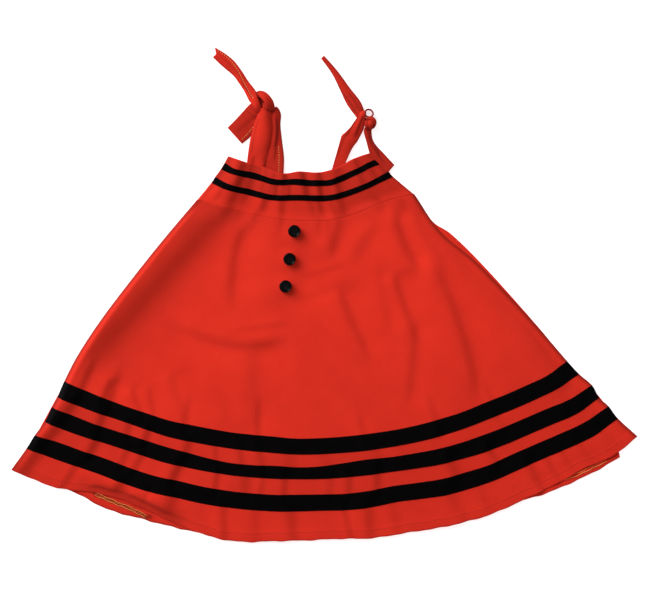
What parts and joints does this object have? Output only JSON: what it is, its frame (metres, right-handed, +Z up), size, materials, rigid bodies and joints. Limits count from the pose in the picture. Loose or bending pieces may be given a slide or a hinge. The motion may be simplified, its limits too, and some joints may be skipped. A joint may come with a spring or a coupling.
{
  "type": "sarafan sundress, laid flat",
  "caption": "Child's sleeveless sundress laid flat: flared red skirt and gathered yoke with black ribbon bands, front buttons and tied shoulder straps.",
  "frame": {"origin": "middle of the laid dress's box, on the surface that it lies on", "axes": "+X across the skirt to the wearer's left as seen from the front, +Y from the hem to the straps, +Z up from the surface, out of the front"},
  "size_m": [0.8344, 0.6587, 0.014],
  "materials": {
    "red_cloth": "matt fine plain-woven cotton",
    "black_ribbon": "matt ribbon",
    "black_button": "glossy with a raised rim"
  },
  "bodies": {
    "root": {"skirt_front": "red_cloth", "skirt_back": "red_cloth", "yoke_front": "red_cloth", "yoke_back": "red_cloth", "yoke_ribbon_upper": "black_ribbon", "yoke_ribbon_lower": "black_ribbon", "hem_band_1": "black_ribbon", "hem_band_2": "black_ribbon", "hem_band_3": "black_ribbon", "button_1": "black_button", "button_2": "black_button", "button_3": "black_button", "strap_left_front": "red_cloth", "strap_left_back": "red_cloth", "knot_left": "red_cloth", "tail_left_long": "red_cloth", "tail_left_short": "red_cloth", "strap_right_front": "red_cloth", "strap_right_back": "red_cloth", "knot_right": "red_cloth", "loop_right": "red_cloth", "tail_right": "red_cloth"}
  },
  "joints": []
}
